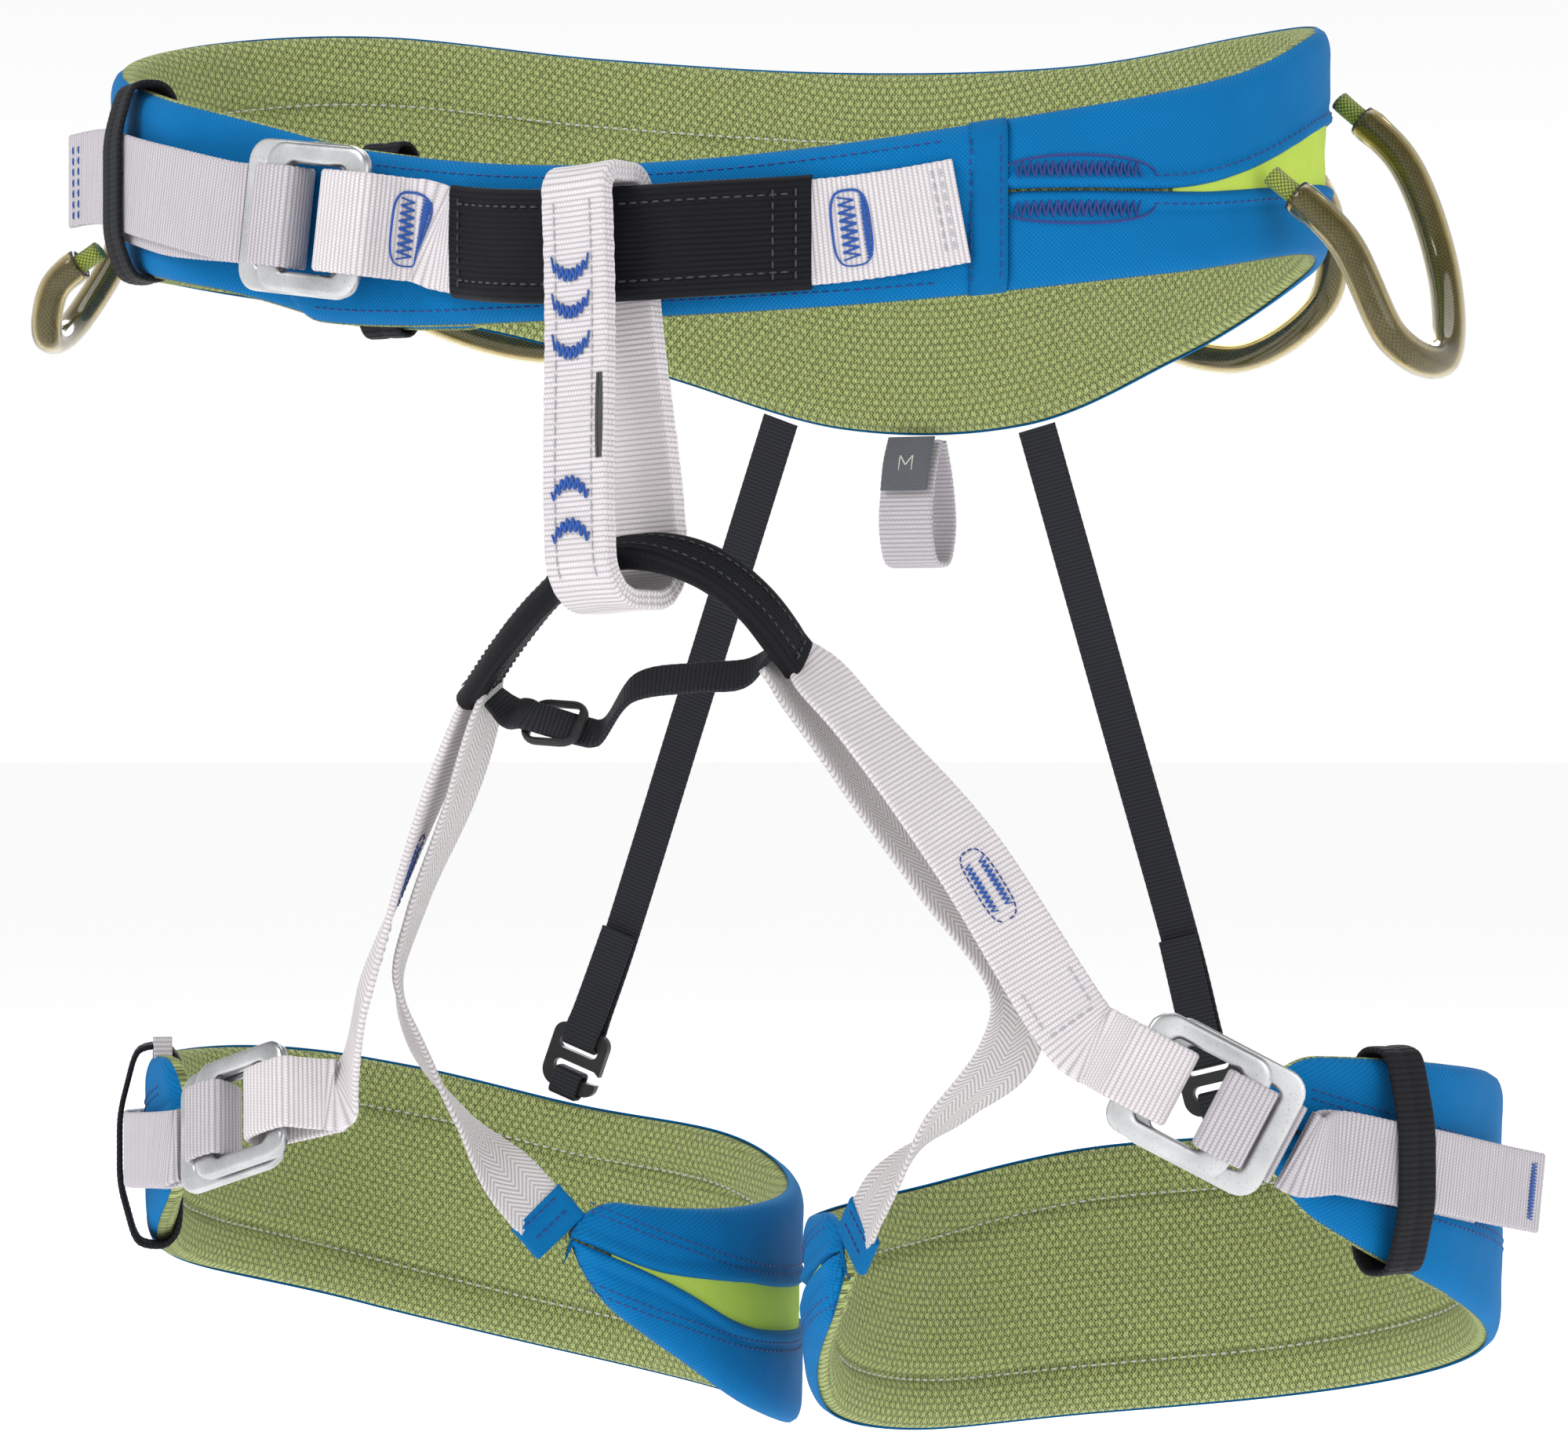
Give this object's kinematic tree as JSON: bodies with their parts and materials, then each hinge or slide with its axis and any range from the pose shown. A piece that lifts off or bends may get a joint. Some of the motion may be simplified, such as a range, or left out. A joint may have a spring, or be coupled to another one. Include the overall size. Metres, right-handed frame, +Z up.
{
  "type": "climbing harness",
  "caption": "Padded sit harness for climbing: waist belt with buckle, belay loop, leg bridge, adjustable leg loops, gear loops and a haul loop.",
  "frame": {"origin": "middle of the space that the wearer's waist fills, at mid height of the belt's front", "axes": "+Z up the wearer's body, +X to the wearer's left, -Y forwards"},
  "size_m": [0.4077, 0.2552, 0.3887],
  "materials": {
    "blue_fabric": "woven nylon face fabric, matt",
    "green_mesh": "open brick-patterned spacer mesh",
    "lime_fabric": "fine woven fabric",
    "foam": "closed-cell foam, hidden inside the pads",
    "white_webbing": "flat woven polyester webbing",
    "grey_webbing": "flat woven polyester webbing",
    "black_webbing": "ribbed webbing and elastic",
    "aluminium": "tumbled satin",
    "black_plastic": "fine moulded texture",
    "clear_sheath": "translucent smooth tube",
    "olive_cord": "braided cord",
    "label_fabric": "woven satin label"
  },
  "bodies": {
    "waist_belt": {"waist_lining": "green_mesh", "waist_foam": "foam", "waist_front_cover": "blue_fabric", "waist_shell_upper": "blue_fabric", "waist_shell_lower": "blue_fabric", "waist_hip_web": "lime_fabric", "tie_in_webbing": "white_webbing", "tie_in_sleeve": "black_webbing", "waist_strap": "grey_webbing", "waist_strap_tail": "grey_webbing", "waist_keeper": "black_webbing", "waist_end_keeper": "black_webbing"},
    "waist_buckle": {"waist_buckle_rear_frame": "aluminium", "waist_buckle_front_frame": "aluminium", "waist_buckle_strap_fold": "white_webbing"},
    "belay_ring": {"belay_loop": "white_webbing"},
    "leg_bridge": {"bridge_webbing": "white_webbing", "bridge_sleeve": "black_webbing", "cross_strap": "black_webbing", "cross_strap_slider": "black_plastic"},
    "haul_hanger": {"haul_loop": "grey_webbing", "size_label": "label_fabric"},
    "leg_left": {"leg_left_lining": "green_mesh", "leg_left_foam": "foam", "leg_left_shell": "blue_fabric", "leg_left_riser_outer": "white_webbing", "leg_left_riser_inner": "white_webbing", "leg_left_strap": "grey_webbing", "leg_left_strap_tail": "grey_webbing", "leg_left_keeper": "black_webbing", "leg_left_hook_tab": "black_webbing"},
    "leg_left_buckle": {"leg_left_buckle_rear_frame": "aluminium", "leg_left_buckle_front_frame": "aluminium", "leg_left_buckle_strap_fold": "white_webbing"},
    "elastic_left": {"rear_elastic_left": "black_webbing"},
    "hook_body_left": {"hook_left": "black_plastic"},
    "leg_right": {"leg_right_lining": "green_mesh", "leg_right_foam": "foam", "leg_right_shell": "blue_fabric", "leg_right_riser_outer": "white_webbing", "leg_right_riser_inner": "white_webbing", "leg_right_strap": "grey_webbing", "leg_right_strap_tail": "grey_webbing", "leg_right_keeper": "black_webbing", "leg_right_hook_tab": "black_webbing", "leg_right_label_loop": "grey_webbing"},
    "leg_right_buckle": {"leg_right_buckle_rear_frame": "aluminium", "leg_right_buckle_front_frame": "aluminium", "leg_right_buckle_strap_fold": "white_webbing"},
    "elastic_right": {"rear_elastic_right": "black_webbing"},
    "hook_body_right": {"hook_right": "black_plastic"},
    "gear_front_left": {"gear_loop_front_left": "clear_sheath", "gear_cord_front_left": "olive_cord"},
    "gear_rear_left": {"gear_loop_rear_left": "clear_sheath", "gear_cord_rear_left": "olive_cord"},
    "gear_front_right": {"gear_loop_front_right": "clear_sheath", "gear_cord_front_right": "olive_cord"},
    "gear_rear_right": {"gear_loop_rear_right": "clear_sheath", "gear_cord_rear_right": "olive_cord"}
  },
  "joints": [
    {"name": "belay_swing", "type": "hinge", "parent": "waist_belt", "child": "belay_ring", "pos_m": [0.025, -0.1165, 0.0101], "axis": [-1, 0, 0], "range_deg": [0, 4]},
    {"name": "bridge_swing", "type": "hinge", "parent": "belay_ring", "child": "leg_bridge", "pos_m": [0.029, -0.115, -0.08], "axis": [-1, 0, 0], "range_deg": [-4, 0]},
    {"name": "elastic_swing_left", "type": "hinge", "parent": "waist_belt", "child": "elastic_left", "pos_m": [0.06, 0.1, -0.0358], "axis": [-1, 0, 0], "range_deg": [0, 2.05]},
    {"name": "elastic_swing_right", "type": "hinge", "parent": "waist_belt", "child": "elastic_right", "pos_m": [-0.0195, 0.1015, -0.0312], "axis": [-1, 0, 0], "range_deg": [0, 2]},
    {"name": "hook_swing_left", "type": "hinge", "parent": "elastic_left", "child": "hook_body_left", "pos_m": [0.10503, 0.1075, -0.21182], "axis": [-1, 0, 0], "range_deg": [-2.05, 0]},
    {"name": "hook_swing_right", "type": "hinge", "parent": "elastic_right", "child": "hook_body_right", "pos_m": [-0.08664, 0.1075, -0.21194], "axis": [-1, 0, 0], "range_deg": [-2, 0]},
    {"name": "leg_swing_left", "type": "hinge", "parent": "leg_bridge", "child": "leg_left", "pos_m": [0.062, -0.084, -0.103], "axis": [0.1962, 0.8397, -0.5064], "range_deg": [-8, 2]},
    {"name": "leg_swing_right", "type": "hinge", "parent": "leg_bridge", "child": "leg_right", "pos_m": [-0.0225, -0.0835, -0.1115], "axis": [0.2909, -0.8349, 0.4673], "range_deg": [-5, 2]},
    {"name": "waist_buckle_tilt", "type": "hinge", "parent": "waist_belt", "child": "waist_buckle", "pos_m": [-0.04434, -0.11017, 0.00457], "axis": [0.1351, -0.0311, 0.9903], "range_deg": [0, 4]},
    {"name": "leg_buckle_tilt_left", "type": "hinge", "parent": "leg_left", "child": "leg_left_buckle", "pos_m": [0.14887, -0.0763, -0.1997], "axis": [-0.4234, -0.1908, -0.8856], "range_deg": [0, 4]},
    {"name": "leg_buckle_tilt_right", "type": "hinge", "parent": "leg_right", "child": "leg_right_buckle", "pos_m": [-0.08242, -0.08024, -0.21347], "axis": [-0.2103, 0.3591, 0.9093], "range_deg": [0, 4]},
    {"name": "haul_swing", "type": "hinge", "parent": "waist_belt", "child": "haul_hanger", "pos_m": [0.023, 0.0975, -0.0376], "axis": [1, 0, 0], "range_deg": [-12, 25]},
    {"name": "gear_flex_front_left", "type": "hinge", "parent": "waist_belt", "child": "gear_front_left", "pos_m": [0.16481, 0, 0.02825], "axis": [0, -0.9192, -0.3938], "range_deg": [-5, 35], "stiffness_Nm_per_rad": 0.2},
    {"name": "gear_flex_rear_left", "type": "hinge", "parent": "waist_belt", "child": "gear_rear_left", "pos_m": [0.10729, 0.07724, 0.028], "axis": [0.8806, -0.4716, 0.0465], "range_deg": [-5, 35], "stiffness_Nm_per_rad": 0.2},
    {"name": "gear_flex_front_right", "type": "hinge", "parent": "waist_belt", "child": "gear_front_right", "pos_m": [-0.16271, -0.01252, 0.0245], "axis": [-0.1753, 0.8823, 0.4369], "range_deg": [-5, 35], "stiffness_Nm_per_rad": 0.2},
    {"name": "gear_flex_rear_right", "type": "hinge", "parent": "waist_belt", "child": "gear_rear_right", "pos_m": [-0.09091, 0.0843, 0.03], "axis": [0.9202, 0.3824, -0.0839], "range_deg": [-5, 35], "stiffness_Nm_per_rad": 0.2}
  ],
  "couplings": [
    {"joint": "bridge_swing", "follows": "belay_swing", "ratio": -1},
    {"joint": "elastic_swing_left", "follows": "belay_swing", "ratio": 0.5119},
    {"joint": "elastic_swing_right", "follows": "belay_swing", "ratio": 0.4983},
    {"joint": "hook_swing_left", "follows": "belay_swing", "ratio": -0.5119},
    {"joint": "hook_swing_right", "follows": "belay_swing", "ratio": -0.4983}
  ]
}
